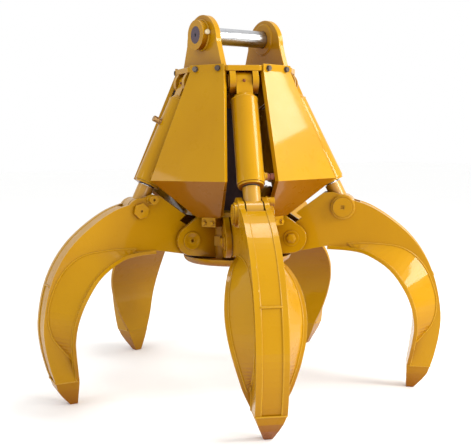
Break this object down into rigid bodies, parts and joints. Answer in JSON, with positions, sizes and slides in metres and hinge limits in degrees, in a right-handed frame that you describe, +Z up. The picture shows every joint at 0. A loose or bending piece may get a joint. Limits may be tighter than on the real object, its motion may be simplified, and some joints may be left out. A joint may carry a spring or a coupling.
{
  "type": "orange peel grab",
  "caption": "Open hydraulic orange-peel grab: curved welded tines hinged round a hub, a cylinder behind each, sheet covers between them and a lug pair with a cross pin on top.",
  "frame": {"origin": "centre of the mounting pin, on the grab's vertical axis", "axes": "+X along the mounting pin, +Z up; the tines stand round +Z"},
  "size_m": [1.8524, 1.8626, 1.754],
  "materials": {
    "paint": "gloss industrial yellow enamel",
    "dark_primer": "matt dark primer, in shadow behind the covers",
    "zinc_steel": "bright zinc plate",
    "pin_steel": "ground bare steel",
    "rod_chrome": "hard chrome, with a painted eye"
  },
  "bodies": {
    "frame": {"top_plate": "paint", "lug_left": "paint", "lug_right": "paint", "column": "dark_primer", "hub": "paint", "hinge_ears": "paint", "head_clevises": "paint", "cover_bolts": "zinc_steel", "pin_keeper": "zinc_steel", "cover_1": "paint", "cover_2": "paint", "cover_3": "paint", "cover_4": "paint", "cover_5": "paint", "hinge_pin_1": "paint", "hinge_pin_2": "paint", "hinge_pin_3": "paint", "hinge_pin_4": "paint", "hinge_pin_5": "paint", "head_pin_1": "paint", "head_pin_2": "paint", "head_pin_3": "paint", "head_pin_4": "paint", "head_pin_5": "paint"},
    "mount_pin": {"mount_pin": "pin_steel"},
    "tine_1": {"tine_1": "paint", "blade_1": "paint", "tooth_1": "paint", "rod_pin_1": "paint"},
    "barrel_1": {"barrel_1": "paint", "gland_1": "paint"},
    "rod_1": {"rod_1": "rod_chrome"},
    "tine_2": {"tine_2": "paint", "blade_2": "paint", "tooth_2": "paint", "rod_pin_2": "paint"},
    "barrel_2": {"barrel_2": "paint", "gland_2": "paint"},
    "rod_2": {"rod_2": "rod_chrome"},
    "tine_3": {"tine_3": "paint", "blade_3": "paint", "tooth_3": "paint", "rod_pin_3": "paint"},
    "barrel_3": {"barrel_3": "paint", "gland_3": "paint"},
    "rod_3": {"rod_3": "rod_chrome"},
    "tine_4": {"tine_4": "paint", "blade_4": "paint", "tooth_4": "paint", "rod_pin_4": "paint"},
    "barrel_4": {"barrel_4": "paint", "gland_4": "paint"},
    "rod_4": {"rod_4": "rod_chrome"},
    "tine_5": {"tine_5": "paint", "blade_5": "paint", "tooth_5": "paint", "rod_pin_5": "paint"},
    "barrel_5": {"barrel_5": "paint", "gland_5": "paint"},
    "rod_5": {"rod_5": "rod_chrome"}
  },
  "joints": [
    {"name": "mount_pin_pull", "type": "slide", "parent": "frame", "child": "mount_pin", "axis": [1, 0, 0], "range_m": [0, 0.48]},
    {"name": "tine_close_1", "type": "hinge", "parent": "frame", "child": "tine_1", "pos_m": [-0.2743, 0.03855, -0.946], "axis": [-0.1392, -0.9903, 0], "range_deg": [0, 52]},
    {"name": "cylinder_swing_1", "type": "hinge", "parent": "frame", "child": "barrel_1", "pos_m": [-0.2337, 0.03284, -0.222], "axis": [-0.1392, -0.9903, 0], "range_deg": [0, 4.7]},
    {"name": "rod_stroke_1", "type": "slide", "parent": "barrel_1", "child": "rod_1", "axis": [-0.4305, 0.0605, -0.9006], "range_m": [0, 0.2385]},
    {"name": "tine_close_2", "type": "hinge", "parent": "frame", "child": "tine_2", "pos_m": [-0.12143, -0.24897, -0.946], "axis": [0.8988, -0.4384, 0], "range_deg": [0, 52]},
    {"name": "cylinder_swing_2", "type": "hinge", "parent": "frame", "child": "barrel_2", "pos_m": [-0.10346, -0.21211, -0.222], "axis": [0.8988, -0.4384, 0], "range_deg": [0, 4.7]},
    {"name": "rod_stroke_2", "type": "slide", "parent": "barrel_2", "child": "rod_2", "axis": [-0.1906, -0.3907, -0.9006], "range_m": [0, 0.2385]},
    {"name": "tine_close_3", "type": "hinge", "parent": "frame", "child": "tine_3", "pos_m": [0.19926, -0.19242, -0.946], "axis": [0.6947, 0.7193, 0], "range_deg": [0, 52]},
    {"name": "cylinder_swing_3", "type": "hinge", "parent": "frame", "child": "barrel_3", "pos_m": [0.16976, -0.16394, -0.222], "axis": [0.6947, 0.7193, 0], "range_deg": [0, 4.7]},
    {"name": "rod_stroke_3", "type": "slide", "parent": "barrel_3", "child": "rod_3", "axis": [0.3127, -0.302, -0.9006], "range_m": [0, 0.2385]},
    {"name": "tine_close_4", "type": "hinge", "parent": "frame", "child": "tine_4", "pos_m": [0.24458, 0.13004, -0.946], "axis": [-0.4695, 0.8829, 0], "range_deg": [0, 52]},
    {"name": "cylinder_swing_4", "type": "hinge", "parent": "frame", "child": "barrel_4", "pos_m": [0.20838, 0.1108, -0.222], "axis": [-0.4695, 0.8829, 0], "range_deg": [0, 4.7]},
    {"name": "rod_stroke_4", "type": "slide", "parent": "barrel_4", "child": "rod_4", "axis": [0.3838, 0.2041, -0.9006], "range_m": [0, 0.2385]},
    {"name": "tine_close_5", "type": "hinge", "parent": "frame", "child": "tine_5", "pos_m": [-0.0481, 0.27279, -0.946], "axis": [-0.9848, -0.1736, 0], "range_deg": [0, 52]},
    {"name": "cylinder_swing_5", "type": "hinge", "parent": "frame", "child": "barrel_5", "pos_m": [-0.04098, 0.23242, -0.222], "axis": [-0.9848, -0.1736, 0], "range_deg": [0, 4.7]},
    {"name": "rod_stroke_5", "type": "slide", "parent": "barrel_5", "child": "rod_5", "axis": [-0.0755, 0.4281, -0.9006], "range_m": [0, 0.2385]}
  ],
  "couplings": [
    {"joint": "cylinder_swing_1", "follows": "tine_close_1", "ratio": 0.088},
    {"joint": "rod_stroke_1", "follows": "tine_close_1", "m_per_rad": 0.2624},
    {"joint": "cylinder_swing_2", "follows": "tine_close_2", "ratio": 0.088},
    {"joint": "rod_stroke_2", "follows": "tine_close_2", "m_per_rad": 0.2624},
    {"joint": "cylinder_swing_3", "follows": "tine_close_3", "ratio": 0.088},
    {"joint": "rod_stroke_3", "follows": "tine_close_3", "m_per_rad": 0.2624},
    {"joint": "cylinder_swing_4", "follows": "tine_close_4", "ratio": 0.088},
    {"joint": "rod_stroke_4", "follows": "tine_close_4", "m_per_rad": 0.2624},
    {"joint": "cylinder_swing_5", "follows": "tine_close_5", "ratio": 0.088},
    {"joint": "rod_stroke_5", "follows": "tine_close_5", "m_per_rad": 0.2624}
  ]
}
